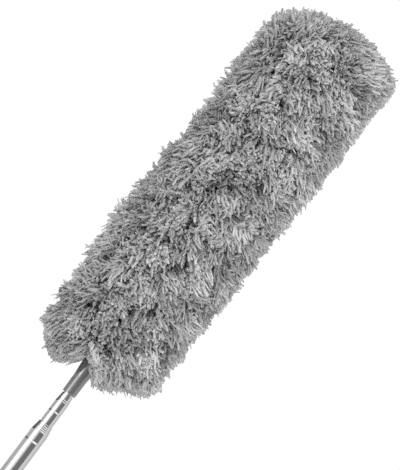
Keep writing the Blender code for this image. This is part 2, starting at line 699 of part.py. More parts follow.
def make_head_base(wire_steel, collar_plastic, brass, hose_plastic, band_rubber, pile_cloth):
    """The collar, which screws on to the tip plug, and the head's lower length."""
    carrier = add_carrier("head_base", COLLAR_BOTTOM)
    add_object("head_collar", turn(collar_outline()), collar_plastic, carrier)
    low = SOCKET_TOP + SEAT_GAP
    insert = ring_outline(STUD_RADIUS + RUN_GAP, insert_radius(), low, low + INSERT_LENGTH)
    add_object("thread_insert", turn(insert, SMALL_SIDES), brass, carrier)
    wire = rod_outline(WIRE_RADIUS, WIRE_BOTTOM, BEND_TOP)
    add_object("core_wire_lower", turn(wire, SMALL_SIDES), wire_steel, carrier)
    hose = ring_outline(CORE_BORE, CORE_RADIUS, COLLAR_BOTTOM + COLLAR_LENGTH + SEAT_GAP, BEND_TOP)
    add_object("neck_hose", turn(hose), hose_plastic, carrier)
    band_bore = SLEEVE_RADIUS + SEAT_GAP
    band_low = COLLAR_BOTTOM + HEM_BAND_BOTTOM
    band = ring_outline(
        band_bore,
        band_bore + HEM_BAND_THICKNESS,
        band_low,
        band_low + HEM_BAND_HEIGHT,
        HEM_BAND_THICKNESS / 3,
    )
    add_object("hem_band", turn(band), band_rubber, carrier)
    lower = sleeve(COLLAR_BOTTOM + HEM_BOTTOM, BEND_TOP, domed=False, hemmed=True)
    add_object("pile_lower", lower, pile_cloth, carrier)


def make_head_upper(wire_steel, core_plastic, pile_cloth):
    """The head's upper length, which bends over on the core wire."""
    carrier = add_carrier("head_upper", COLLAR_BOTTOM + BEND_HEIGHT)
    wire = rod_outline(WIRE_RADIUS, BEND_TOP + SEAT_GAP, CORE_TOP - CORE_WIRE_SHORT)
    add_object("core_wire_upper", turn(wire, SMALL_SIDES), wire_steel, carrier)
    core = ring_outline(CORE_BORE, CORE_RADIUS, BEND_TOP + SEAT_GAP, CORE_TOP)
    add_object("core_tube", turn(core), core_plastic, carrier)
    add_object("core_cap", turn(core_cap_outline(), SMALL_SIDES), core_plastic, carrier)
    upper = sleeve(BEND_TOP + SEAT_GAP, DOME_BASE, domed=True, hemmed=False)
    add_object("pile_upper", upper, pile_cloth, carrier)


def main():
    clear_scene()
    steel = finish("stainless steel", (0.62, 0.62, 0.62), 0.16, 1.0)
    spring_steel = finish("spring steel", (0.45, 0.45, 0.46), 0.35, 1.0)
    wire_steel = finish("galvanised wire", (0.50, 0.50, 0.50), 0.45, 1.0)
    brass = finish("brass", (0.62, 0.48, 0.22), 0.35, 1.0)
    collar_plastic = finish("grey collar plastic", (0.16, 0.16, 0.16), 0.38)
    grip_plastic = finish("dark grey grip plastic", (0.10, 0.10, 0.10), 0.60)
    bush_plastic = finish("white bush plastic", (0.75, 0.75, 0.74), 0.50)
    core_plastic = finish("natural core plastic", (0.68, 0.68, 0.66), 0.55)
    hose_plastic = finish("soft neck hose", (0.60, 0.60, 0.58), 0.60)
    band_rubber = finish("elastic band", (0.30, 0.30, 0.30), 0.80)
    pile_cloth = finish("grey microfibre", (0.34, 0.34, 0.34), 0.95)
    make_handle(steel, bush_plastic, grip_plastic)
    make_middle_stage(steel, bush_plastic, spring_steel)
    make_tip_stage(steel, bush_plastic, spring_steel)
    make_head_base(wire_steel, collar_plastic, brass, hose_plastic, band_rubber, pile_cloth)
    make_head_upper(wire_steel, core_plastic, pile_cloth)


main()
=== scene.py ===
"""Looks of the telescopic microfibre duster: pile, steel tubes, plastics, studio and camera.

Lengths are in metres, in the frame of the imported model: Z runs up the pole, the head is at the
top and the origin is in the middle of the hand grip.
"""

import json
import math
import random

import bmesh
import bpy
import numpy as np
from mathutils import Matrix, Vector, noise


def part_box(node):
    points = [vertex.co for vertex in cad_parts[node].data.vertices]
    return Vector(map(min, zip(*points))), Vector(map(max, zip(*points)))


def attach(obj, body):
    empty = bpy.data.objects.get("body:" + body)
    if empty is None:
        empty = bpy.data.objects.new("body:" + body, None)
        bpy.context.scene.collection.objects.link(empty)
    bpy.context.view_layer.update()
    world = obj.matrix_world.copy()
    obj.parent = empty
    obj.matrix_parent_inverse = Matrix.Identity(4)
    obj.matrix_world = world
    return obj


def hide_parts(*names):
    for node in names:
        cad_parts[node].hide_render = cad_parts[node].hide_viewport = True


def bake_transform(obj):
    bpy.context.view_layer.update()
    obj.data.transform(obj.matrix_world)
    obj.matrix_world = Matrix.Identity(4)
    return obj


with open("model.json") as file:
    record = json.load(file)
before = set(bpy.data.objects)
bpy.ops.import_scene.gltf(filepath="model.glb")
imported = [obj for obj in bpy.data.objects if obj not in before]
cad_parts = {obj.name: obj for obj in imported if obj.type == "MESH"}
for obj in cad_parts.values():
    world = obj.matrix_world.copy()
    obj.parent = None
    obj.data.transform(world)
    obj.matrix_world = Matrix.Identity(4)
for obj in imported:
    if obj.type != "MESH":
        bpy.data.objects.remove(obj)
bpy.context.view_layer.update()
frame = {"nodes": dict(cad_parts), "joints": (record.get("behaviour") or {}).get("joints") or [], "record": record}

# Photograph: its size in pixels, what a pixel measures, the middle of the collar's rim in it, and
# how far the pole runs to the right and up
PHOTO_WIDTH, PHOTO_HEIGHT = 400, 470
PIXEL_SIZE = 0.00089
RIM_PIXEL = (68.55, 393.9)
POLE_SLOPE = (0.6, 0.8)

# Camera
CAMERA_BELOW = math.radians(5)
CAMERA_DISTANCE = 2.2
CAMERA_REACH = 50
SENSOR_WIDTH = 36.0

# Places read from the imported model
OUTER_LOW, OUTER_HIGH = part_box("outer_tube")
MIDDLE_LOW, MIDDLE_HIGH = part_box("middle_tube")
TIP_LOW, TIP_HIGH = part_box("tip_tube")
COLLAR_LOW, COLLAR_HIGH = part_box("head_collar")
GRIP_LOW, GRIP_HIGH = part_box("hand_grip")
CAP_LOW, CAP_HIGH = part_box("hang_cap")
BAND_LOW, BAND_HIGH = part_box("hem_band")
HOSE_LOW, HOSE_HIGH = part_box("neck_hose")
WIRE_LOW, WIRE_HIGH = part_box("core_wire_lower")
_, CORE_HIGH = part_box("core_tube")
_, CORE_WIRE_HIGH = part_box("core_wire_upper")
RIM = COLLAR_LOW.z
BEND_JOINT = next(joint for joint in frame["joints"] if joint["name"] == "head_bend")
BEND_Z = BEND_JOINT["pos_m"][2]

# Facets of the turned pieces, and the gaps between pieces that slide or sit in each other
ROUND_SIDES = 96
SMALL_SIDES = 48
ROLL_STEPS = 8
DOME_STEPS = 8
FULL_TURN = 2 * math.pi
SMOOTH_ANGLE = math.radians(40)
RUN_GAP = 0.0002
SEAT_GAP = 0.0003
MERGE_DISTANCE = RUN_GAP / 100

# Swaged necks: the cone is partly straight and partly eased, and its rings are rolled into it
TUBE_WALL = 0.0005
NECK_LIP = 0.0008
NECK_CONE = 0.0087
NECK_ROUNDING = 0.0004
NECK_STRAIGHT_SHARE = 0.65
RING_WIDTH = 0.00125
RING_STEPS = 4 * ROLL_STEPS
OUTER_RING_DEPTHS = (0.00024, 0.00024, 0.00024, 0.00024)
MIDDLE_RING_DEPTHS = (0.00005, 0.00005, 0.00022, 0.00022)
RING_FIRST_SHARE = 0.18
RING_PITCH_SHARE = 0.21
CRIMP_BELOW_CONE = 0.0098
CRIMP_WIDTH = 0.0015
CRIMP_DEPTH = 0.00028
GROOVE_END_SHARE = 0.6

# Collar
COLLAR_RIM_RADIUS = 0.0066
COLLAR_NECK_RADIUS = 0.0067
COLLAR_MOUTH_RADIUS = 0.0078
COLLAR_NECK_HEIGHT = 0.014
COLLAR_MOUTH_HEIGHT = 0.032
COLLAR_EDGE = 0.0006
COLLAR_MOUTH_BAND = 6 * COLLAR_EDGE
COLLAR_STEPS = 3 * ROLL_STEPS

# Grip and hanging cap
GRIP_RADIUS = 0.0122
GRIP_FRONT_RADIUS = 0.0104
GRIP_EDGE = 0.0012
GRIP_TAPER = 0.016
GRIP_REAR = 0.006
GRIP_STEPS = 12
GRIP_RIB_COUNT = 6
GRIP_RIB_PITCH = 0.0125
GRIP_GROOVE_WIDTH = 0.0030
GRIP_GROOVE_DEPTH = 0.0009
CAP_FLANGE = 0.004
CAP_EDGE = 0.001
TAB_WIDTH = 0.020
TAB_THICKNESS = 0.006
TAB_LENGTH = 0.028
TAB_EDGE = 0.0008
TAB_EDGE_STEPS = 3
TAB_HOLE = 0.0055
TAB_STEPS = 36

# Hose round the wire, and the elastic round the hem
HOSE_RIB_PITCH = 0.0032
HOSE_RIB_STEPS = 6
HOSE_RIB_DEPTH = 0.0007
PLEAT_COUNT = 40
PLEAT_DEPTH = 0.0004
PLEAT_STEPS = 16
PLEAT_SIDES = 4

# Pile, with heights counted from the collar's rim: its strands
TUFT_COUNT = 2100
STRANDS_IN_TUFT = 15
SHORT_STRANDS = 4
SHORT_BY = (0.005, 0.010)
SHORT_WIDTH = 1.4
STRAND_SIDES = 4
STRAND_STEP_SHARES = (0.0, 0.62, 0.76, 0.86, 0.93, 1.0)
STRAND_RADIUS = 0.00150
STRAND_FLATNESS_SHARE = 0.62
STRAND_TIP_SHARE = 0.75
WISP_SHARE = 0.04
WISP_REACH = 0.0032
WISP_WIDTH = 0.6
PILE_SEED = 11
COURSE_COUNT = 10

# How tufts and strands stand, lean and curl, and how they sag to the photograph's lower edge
GOLDEN_ANGLE = math.pi * (3 - math.sqrt(5))
PLACE_JITTER = 0.45
ANGLE_JITTER = 0.02
TUFT_SPREAD = 0.0060
TUFT_OPENING = 1.25
TUFT_LEAN = 0.0058
TUFT_LEAN_RANGE = (0.4, 1.5)
TUFT_KINK = 0.0018
STRAND_LEAN = 0.0048
STRAND_LEAN_RANGE = (0.3, 1.3)
STRAND_KINK = 0.0019
KINK_SHARES = (0.0, 0.6, 1.0, 1.0, 0.9, 0.0)
CURL_TURN = math.radians(126)
LEAN_POWER = 5
LENGTH_JITTER = 0.0060
LENGTH_RANGE = (-1.0, 0.45)
BULGE = 0.0012
GRAVITY = Vector((POLE_SLOPE[0], 0.0, -POLE_SLOPE[1]))
DROOP = 0.0070
DROOP_RANGE = (-0.4, 0.4)
DROOP_OUTWARD_LOSS = 0.4

# Clumps, broad swells (pitch, turns, phase) and tones, with painted light on the clumps' crests and painted shade
# in the partings between them
CLUMP_SIZE = 0.018
CLUMP_DEPTH = 0.0034
CLUMP_PULL = 0.0062
CLUMP_STEP = 0.004
SWELLS = ((0.021, 1, 0.4), (0.036, -1, 2.1), (0.036, 2, 4.0), (0.090, -1, 5.2))
SWELL_DEPTH = 0.0010
MIDDLE_TONE = 0.5
# Painted light and shade: tufts on a crest are drawn lighter and tufts in a parting darker
CLUMP_PAINTED_LIGHT = 0.28
TUFT_TONE = 0.13
STRAND_TONE = 0.07

# The line that the tips reach, as (radius, height), and how far the pile's middle lies off the
# pole's axis, as (height, x)
SKIRT_INNER = (0.022, 0.026)
SKIRT_LOW = (0.034, 0.013)
SKIRT_HIGH = (0.0575, 0.038)
SKIRT_STEPS = 8
LOWER_SIDE = (0.0604, 0.076)
UPPER_RADIUS = 0.0628
SHOULDER = 0.0335
SHOULDER_STEPS = 24
PILE_TOP = 0.4135
AXIS_SHIFT = (
    (0.045, 0.0040),
    (0.075, 0.0),
    (0.200, 0.0012),
    (0.260, 0.0052),
    (0.380, 0.0080),
    (0.400, 0.0150),
    (0.4135, 0.0178),
)

# The pile's ragged lower edge, as (x, height), and its right side, as (height, x)
LOWER_EDGE = (
    (-0.0555, 0.036),
    (-0.0457, 0.0250),
    (-0.0342, 0.0165),
    (-0.0300, 0.0150),
    (-0.0255, 0.0175),
    (-0.0195, 0.0235),
    (-0.0133, 0.0290),
    (-0.0100, 0.0365),
    (-0.0075, 0.0405),
    (-0.0050, 0.0415),
    (-0.0030, 0.0335),
    (0.0035, 0.0320),
    (0.0085, 0.0285),
    (0.0105, 0.0215),
    (0.0177, 0.0190),
    (0.0250, 0.0245),
    (0.0375, 0.0310),
    (0.0450, 0.0360),
    (0.0560, 0.0395),
    (0.0630, 0.0480),
)
EDGE_RAGGED = (-0.0005, 0.0090, 0.0010)
EDGE_STRAY = 0.0016
EDGE_WISP_SHARE = 0.16
EDGE_WISP_REACH = 0.0065
WIDEST = ((0.045, 0.0610), (0.060, 0.0620), (0.090, 0.0650), (0.200, 0.0672), (0.300, 0.0688))
EDGE_GIVE = 0.2

# Sleeve, the strands' roots in it, and the under pile
SLEEVE_RADIUS = 0.0099
SLEEVE_BOTTOM = 0.0385
SLEEVE_TOP = 0.352
SLEEVE_WALL = 0.0013
SLEEVE_DOME = 0.0009
SLEEVE_ROWS = 40
LOWEST_ROOT = 0.057
ROOT_LIFT = 0.006
NEAR_AXIS = 0.004
DOME_ROOT_SHARE = 0.5
UNDER_SHARE = 0.55
UNDER_BOTTOM = 0.066
UNDER_TOP = 0.396
UNDER_STEP = 0.006
BLEND_REACH = 0.055

# The strands' map: their tones, with the crests' painted light and shade in them, run across it and their length
# runs up
MAP_MARGIN = 0.005
MAP_TONES = 0.98
MAP_STRAND_WIDTH = 0.01
MAP_REACH = 0.99

# Looks: the range that noise keeps to, the scales and detail of patches and grain, the depth of
# bumps, how a grain is stretched, and the colours of brass
NOISE_RANGE = (0.25, 0.75)
PATCH_SCALE = 60.0
PATCH_DETAIL = 3.0
GRAIN_SCALE = 1800.0
GRAIN_DETAIL = 2.0
METAL_BUMP = 0.00005
PLASTIC_BUMP = 0.0001
EVEN = (1.0, 1.0, 1.0)
DRAWN = (1.0, 1.0, 0.08)
TURNED = (1.0, 1.0, 6.0)
BRASS_DARK = (0.5, 0.36, 0.14)
BRASS_LIGHT = (0.68, 0.5, 0.24)

# Metals: name, dark and light colour, roughness, scales of patches and grain, stretch, and bump
METALS = (
    ("polished stainless steel", 0.56, 0.64, (0.13, 0.19), 40.0, 900.0, DRAWN, 0.03),
    ("plain steel", 0.42, 0.55, (0.3, 0.42), 300.0, 2400.0, EVEN, 0.3),
    ("turned brass", BRASS_DARK, BRASS_LIGHT, (0.28, 0.4), 300.0, 2400.0, TURNED, 0.3),
)

# Plastics and cloth: name, dark and light grey, roughness, scales of patches and grain, bump,
# specular level, and index of refraction
PLASTICS = (
    ("grey collar plastic", 0.170, 0.188, (0.09, 0.12), 120.0, 1600.0, 0.02, 1.0, 1.7),
    ("dark grip plastic", 0.075, 0.095, (0.5, 0.66), 90.0, 2200.0, 0.45, 0.5, 1.5),
    ("white bush plastic", 0.66, 0.74, (0.42, 0.55), 200.0, 1800.0, 0.2, 0.5, 1.5),
    ("natural core plastic", 0.58, 0.66, (0.45, 0.58), 150.0, 1500.0, 0.2, 0.5, 1.5),
    ("soft hose plastic", 0.5, 0.58, (0.5, 0.64), 150.0, 1700.0, 0.3, 0.5, 1.5),
    ("covered elastic", 0.22, 0.32, (0.7, 0.9), 900.0, 2600.0, 0.6, 0.3, 1.5),
    ("knitted sleeve", 0.50, 0.60, (0.85, 0.95), 500.0, 1400.0, 0.8, 0.2, 1.5),
)

# Yarn: greys along the tones, painted shade along a strand, and gloss
YARN_NAME = "grey microfibre yarn"
YARN_TONES = ((0.0, 0.39), (0.5, 0.585), (1.0, 0.94))
# Painted shade: a strand's grey is drawn darker at 0.7 of its length and full at its root and tip
YARN_PAINTED_SHADE = ((0.0, 1.0), (0.7, 0.90), (1.0, 1.0))
YARN_SPECULAR = 0.25
YARN_ROUGHNESS = 0.85
YARN_SHEEN = 0.2
YARN_SHEEN_ROUGHNESS = 0.5

# The material of each slot
SLOT_LOOKS = {
    "pole_steel": "polished stainless steel",
    "pin_steel": "plain steel",
    "spring_steel": "plain steel",
    "wire_steel": "plain steel",
    "insert_brass": "turned brass",
    "collar_plastic": "grey collar plastic",
    "grip_plastic": "dark grip plastic",
    "bush_plastic": "white bush plastic",
    "core_plastic": "natural core plastic",
    "hose_plastic": "soft hose plastic",
    "band_rubber": "covered elastic",
    "pile_microfibre": YARN_NAME,
}

# Studio: the world's light on the object, and the floor, which is lifted towards white for the
# camera alone
WORLD_LEVEL = 0.65
FLOOR_SIZE = 6.0
FLOOR_DROP = 0.12
FLOOR_WHITE = 0.93
FLOOR_SPECULAR = 0.2
FLOOR_ROUGHNESS = 0.9
FLOOR_LIFT = 0.36

# Cards that only reflections see: name, the bearings of their ends in degrees from the camera's
# own, growing to its right, the heights of their edges, level of light, and radius
CARD_STEPS = 24
CARDS = (
    ("card_dark", -2, 64, -0.20, 1.10, 0.26, 1.5),
    ("card_above", -2, 64, 1.10, 3.40, 2.4, 1.5),
    ("card_below", -2, 64, -2.80, -0.20, 2.4, 1.5),
    ("card_back", 112, 282, -0.7, 1.5, 0.72, 1.5),
    ("card_strip", -61, -27, -2.2, 2.8, 3.2, 1.5),
    ("card_left_dark", -178, -92, 0.38, 1.6, 0.10, 1.4),
    ("card_left_low", -178, -92, -1.2, 0.20, 0.16, 1.4),
    ("card_strip_low", -61, -27, -1.2, 0.20, 5.0, 1.45),
)

# Soft lamps: name, bearing and height angle in degrees, and level of light. They are aimed at a
# place above the collar's rim
LAMPS = (("left_softbox", -40, 25, 0.85), ("right_softbox", 42, 15, 1.2))
LAMP_WIDTH = 1.2
LAMP_HEIGHT = 1.4
LAMP_DISTANCE = 1.8
LAMP_AIM = 0.1


def turned(outline, sides=ROUND_SIDES):
    """Turn a closed outline of (radius, height) points about Z, faces outwards."""
    bm = bmesh.new()
    verts = [bm.verts.new((radius, 0, height)) for radius, height in outline]
    pairs = zip(verts, verts[1:] + verts[:1], strict=True)
    drawn = [bm.edges.new(pair) for pair in pairs if any(vert.co.x > 0 for vert in pair)]
    bmesh.ops.spin(
        bm,
        geom=verts + drawn,
        cent=(0, 0, 0),
        axis=(0, 0, 1),
        angle=FULL_TURN,
        steps=sides,
        use_merge=True,
    )
    bmesh.ops.remove_doubles(bm, verts=bm.verts, dist=MERGE_DISTANCE)
    bmesh.ops.recalc_face_normals(bm, faces=bm.faces)
    return bm


def piece_of(name, bm, material, smooth_angle=SMOOTH_ANGLE):
    """Turn a bmesh into a named piece with its material."""
    mesh = bpy.data.meshes.new(name)
    bm.to_mesh(mesh)
    bm.free()
    mesh.shade_smooth()
    if smooth_angle is not None:
        mesh.set_sharp_from_angle(angle=smooth_angle)
    mesh.materials.append(material)
    piece = bpy.data.objects.new(name, mesh)
    bpy.context.collection.objects.link(piece)
    return piece


def new_group(name, inputs, outputs):
    """An empty shader node group with named sockets."""
    group = bpy.data.node_groups.new(name, "ShaderNodeTree")
    for label, kind, value in inputs:
        socket = group.interface.new_socket(label, in_out="INPUT", socket_type=kind)
        socket.default_value = value
    for label, kind in outputs:
        group.interface.new_socket(label, in_out="OUTPUT", socket_type=kind)
    return group, group.nodes.new("NodeGroupInput"), group.nodes.new("NodeGroupOutput")


def make_mottle_group():
    """Soft patches and fine grain: a mask from 0 to 1 and a height for bumps."""
    group, given, result = new_group(
        "mottle and grain",
        [
            ("Patch Scale", "NodeSocketFloat", PATCH_SCALE),
            ("Grain Scale", "NodeSocketFloat", GRAIN_SCALE),
            ("Stretch", "NodeSocketVector", EVEN),
        ],
        [("Patch", "NodeSocketFloat"), ("Grain", "NodeSocketFloat")],
    )
    nodes, links = group.nodes, group.links
    place = nodes.new("ShaderNodeTexCoord")
    stretch = nodes.new("ShaderNodeVectorMath")
    stretch.operation = "MULTIPLY"
    links.new(place.outputs["Object"], stretch.inputs[0])
    links.new(given.outputs["Stretch"], stretch.inputs[1])
    for label, detail in (("Patch", PATCH_DETAIL), ("Grain", GRAIN_DETAIL)):
        texture = nodes.new("ShaderNodeTexNoise")
        texture.inputs["Detail"].default_value = detail
        links.new(stretch.outputs["Vector"], texture.inputs["Vector"])
        links.new(given.outputs[f"{label} Scale"], texture.inputs["Scale"])
        links.new(texture.outputs["Fac"], result.inputs[label])
    return group


MOTTLE = make_mottle_group()


def add_mottle(material, patch_scale, grain_scale, stretch=EVEN):
    """Place the mottle group in a material with its own values."""
    node = material.node_tree.nodes.new("ShaderNodeGroup")
    node.node_tree = MOTTLE
    node.inputs["Patch Scale"].default_value = patch_scale
    node.inputs["Grain Scale"].default_value = grain_scale
    node.inputs["Stretch"].default_value = stretch
    return node


def remapped(material, source, low, high):
    """A noise value, stretched to run from low to high."""
    node = material.node_tree.nodes.new("ShaderNodeMapRange")
    node.inputs["From Min"].default_value = NOISE_RANGE[0]
    node.inputs["From Max"].default_value = NOISE_RANGE[1]
    node.inputs["To Min"].default_value = low
    node.inputs["To Max"].default_value = high
    material.node_tree.links.new(source, node.inputs["Value"])
    return node.outputs["Result"]


def ramped(material, source, stops):
    """Colours along a value; each stop is (place, grey or colour)."""
    node = material.node_tree.nodes.new("ShaderNodeValToRGB")
    ramp = node.color_ramp
    while len(ramp.elements) < len(stops):
        ramp.elements.new(0.5)
    for element, (place, colour) in zip(ramp.elements, stops, strict=True):
        element.position = place
        rgb = (colour,) * 3 if isinstance(colour, float) else colour
        element.color = (*rgb, 1.0)
    material.node_tree.links.new(source, node.inputs["Fac"])
    return node.outputs["Color"]


def bumped(material, height, strength, distance):
    """A bump that feeds the shader's normal."""
    tree = material.node_tree
    node = tree.nodes.new("ShaderNodeBump")
    node.inputs["Strength"].default_value = strength
    node.inputs["Distance"].default_value = distance
    tree.links.new(height, node.inputs["Height"])
    tree.links.new(node.outputs["Normal"], tree.nodes["Principled BSDF"].inputs["Normal"])


def blank_material(name, metallic=0.0, specular=0.5):
    """A material with a plain Principled shader."""
    material = bpy.data.materials.new(name)
    material.use_nodes = True
    shader = material.node_tree.nodes["Principled BSDF"]
    shader.inputs["Metallic"].default_value = metallic
    shader.inputs["Specular IOR Level"].default_value = specular
    return material, shader


def tint(material, shader, mottle, dark, light):
    """A base colour that drifts between dark and light in soft patches."""
    patch = remapped(material, mottle.outputs["Patch"], 0, 1)
    colour = ramped(material, patch, ((0, dark), (1, light)))
    material.node_tree.links.new(colour, shader.inputs["Base Color"])


def metal(name, dark, light, rough, patch_scale, grain_scale, stretch, bump):
    """Metal with a stretched grain and faint smudges in its gloss."""
    material, shader = blank_material(name, metallic=1.0)
    mottle = add_mottle(material, patch_scale, grain_scale, stretch)
    tint(material, shader, mottle, dark, light)
    gloss = remapped(material, mottle.outputs["Patch"], *rough)
    material.node_tree.links.new(gloss, shader.inputs["Roughness"])
    bumped(material, mottle.outputs["Grain"], bump, METAL_BUMP)
    return material


def plastic(name, dark, light, rough, patch_scale, grain_scale, bump, specular, ior):
    """Moulded plastic, rubber or cloth with a fine grain."""
    material, shader = blank_material(name, specular=specular)
    shader.inputs["IOR"].default_value = ior
    mottle = add_mottle(material, patch_scale, grain_scale)
    tint(material, shader, mottle, dark, light)
    gloss = remapped(material, mottle.outputs["Grain"], *rough)
    material.node_tree.links.new(gloss, shader.inputs["Roughness"])
    bumped(material, mottle.outputs["Grain"], bump, PLASTIC_BUMP)
    return material


def microfibre():
    """Yarn of the pile: each strand has its own tone, lighter on crests as painted light, and a painted shade a
    little below its tip.
    """
    material, shader = blank_material(YARN_NAME, specular=YARN_SPECULAR)
    nodes, links = material.node_tree.nodes, material.node_tree.links
    tone_and_painted_light = nodes.new("ShaderNodeAttribute")
    tone_and_painted_light.attribute_name = "tone_and_painted_light"
    reach = nodes.new("ShaderNodeAttribute")
    reach.attribute_name = "reach"
    base = ramped(material, tone_and_painted_light.outputs["Fac"], YARN_TONES)
    # Painted shade: each strand is drawn darker a little below its tip, as the pile would shade it
    painted_shade = ramped(material, reach.outputs["Fac"], YARN_PAINTED_SHADE)
    mix = nodes.new("ShaderNodeMix")
    mix.data_type = "RGBA"
    mix.blend_type = "MULTIPLY"
    mix.inputs["Factor"].default_value = 1.0
    links.new(base, mix.inputs["A"])
    links.new(painted_shade, mix.inputs["B"])
    links.new(mix.outputs["Result"], shader.inputs["Base Color"])
    shader.inputs["Roughness"].default_value = YARN_ROUGHNESS
    shader.inputs["Sheen Weight"].default_value = YARN_SHEEN
    shader.inputs["Sheen Roughness"].default_value = YARN_SHEEN_ROUGHNESS
    return material


def rolled(radius, depth, width, middle):
    """Points of a rolled groove in a wall, from its top to its bottom. One more point at each
    end keeps the wall beside it flat in the shading."""
    points = [(radius, middle + width * GROOVE_END_SHARE)]
    for step in range(ROLL_STEPS + 1):
        share = step / ROLL_STEPS
        dip = depth * math.sin(math.pi * share) ** 2
        points.append((radius - dip, middle + width * (0.5 - share)))
    points.append((radius, middle - width * GROOVE_END_SHARE))
    return points


def neck_outside(lip_radius, radius, top, ring_depths):
    """Outer points of a swaged neck, from its lip to the bottom of its crimp."""
    cone_top = top - NECK_LIP
    cone_bottom = cone_top - NECK_CONE
    points = [(lip_radius - TUBE_WALL / 3, top), (lip_radius, top - TUBE_WALL / 2)]
    steps = len(ring_depths) * RING_STEPS
    for step in range(steps + 1):
        share = step / steps
        ease = share * share * (3 - 2 * share)
        blended = NECK_STRAIGHT_SHARE * share + (1 - NECK_STRAIGHT_SHARE) * ease
        reach = lip_radius + (radius - lip_radius) * blended
        for ring, depth in enumerate(ring_depths):
            off = (share - RING_FIRST_SHARE - ring * RING_PITCH_SHARE) * NECK_CONE / RING_WIDTH
            if abs(off) < 0.5:
                reach -= depth * math.cos(math.pi * off) ** 2
        points.append((reach, cone_top - NECK_CONE * share))
    points.append((radius, cone_bottom - NECK_ROUNDING))
    points.append((radius, cone_bottom - 2 * NECK_ROUNDING))
    points += rolled(radius, CRIMP_DEPTH, CRIMP_WIDTH, cone_bottom - CRIMP_BELOW_CONE)
    return points


def swaged(radius, bottom, top, passes_radius, ring_depths):
    """A thin tube with its upper end drawn in round the next tube."""
    lip_bore = passes_radius + RUN_GAP
    bore = radius - TUBE_WALL
    cone_bottom = top - NECK_LIP - NECK_CONE
    crimp = rolled(bore, CRIMP_DEPTH, CRIMP_WIDTH, cone_bottom - CRIMP_BELOW_CONE)
    outline = [(lip_bore, top)] + neck_outside(lip_bore + TUBE_WALL, radius, top, ring_depths)
    outline += [(radius, bottom + TUBE_WALL / 4), (radius - TUBE_WALL / 4, bottom), (bore, bottom)]
    outline += reversed(crimp)
    outline += [(bore, cone_bottom - TUBE_WALL), (lip_bore, top - NECK_LIP - TUBE_WALL)]
    return turned(outline)


def make_tubes(steel):
    """The three steel tubes of the pole."""
    outer = piece_of(
        "outer_pole_tube",
        swaged(OUTER_HIGH.x, OUTER_LOW.z, OUTER_HIGH.z, MIDDLE_HIGH.x, OUTER_RING_DEPTHS),
        steel,
    )
    middle = piece_of(
        "middle_pole_tube",
        swaged(MIDDLE_HIGH.x, MIDDLE_LOW.z, MIDDLE_HIGH.z, TIP_HIGH.x, MIDDLE_RING_DEPTHS),
        steel,
    )
    bore = TIP_HIGH.x - TUBE_WALL
    outline = [(bore, TIP_HIGH.z), (TIP_HIGH.x, TIP_HIGH.z)]
    outline += [(TIP_HIGH.x, TIP_LOW.z), (bore, TIP_LOW.z)]
    tip = piece_of("tip_pole_tube", turned(outline), steel)
    for piece, body, node in (
        (outer, "handle", "outer_tube"),
        (middle, "middle_stage", "middle_tube"),
        (tip, "tip_stage", "tip_tube"),
    ):
        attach(piece, body)
        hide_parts(node)


def make_collar(material):
    """The collar, which flares towards the pile, with its socket for the pole."""
    top, bottom = COLLAR_HIGH.z, COLLAR_LOW.z
    radius = COLLAR_HIGH.x
    wire_bore = WIRE_HIGH.x + SEAT_GAP
    outline = [(wire_bore, top), (radius - COLLAR_EDGE, top), (radius, top - COLLAR_EDGE)]
    outline.append((radius, bottom + COLLAR_MOUTH_HEIGHT + COLLAR_MOUTH_BAND))
    for step in range(COLLAR_STEPS + 1):
        share = step / COLLAR_STEPS
        ease = (1 - math.cos(math.pi * share)) / 2
        reach = COLLAR_MOUTH_RADIUS + (COLLAR_NECK_RADIUS - COLLAR_MOUTH_RADIUS) * ease
        fall = (COLLAR_NECK_HEIGHT - COLLAR_MOUTH_HEIGHT) * share
        outline.append((reach, bottom + COLLAR_MOUTH_HEIGHT + fall))
    for step in range(ROLL_STEPS + 1):
        turn = math.radians(90) * step / ROLL_STEPS
        reach = COLLAR_RIM_RADIUS - COLLAR_EDGE * (1 - math.cos(turn))
        outline.append((reach, bottom + COLLAR_EDGE * (1 - math.sin(turn))))
    socket = TIP_HIGH.x + SEAT_GAP
    socket_top = TIP_HIGH.z + SEAT_GAP
    outline += [(socket, bottom), (socket, socket_top), (wire_bore, socket_top)]
    collar = piece_of("collar_moulding", turned(outline), material)
    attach(collar, "head_base")
    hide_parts("head_collar")


def arc(centre, radii, start, end, steps):
    """Points of (radius, height) on an elliptical arc."""
    points = []
    for step in range(steps + 1):
        angle = math.radians(start + (end - start) * step / steps)
        reach = centre[0] + radii[0] * math.cos(angle)
        points.append((reach, centre[1] + radii[1] * math.sin(angle)))
    return points


def envelope():
    """The line that the strands' tips reach, from the skirt's inner edge to the top."""
    across, up = SKIRT_HIGH[0] - SKIRT_LOW[0], SKIRT_HIGH[1] - SKIRT_LOW[1]
    line = [SKIRT_INNER]
    line += arc((SKIRT_LOW[0], SKIRT_HIGH[1]), (across, up), -90, 0, SKIRT_STEPS)
    line.append(LOWER_SIDE)
    line += arc((0, PILE_TOP - SHOULDER), (UPPER_RADIUS, SHOULDER), 0, 90, SHOULDER_STEPS)
    return line


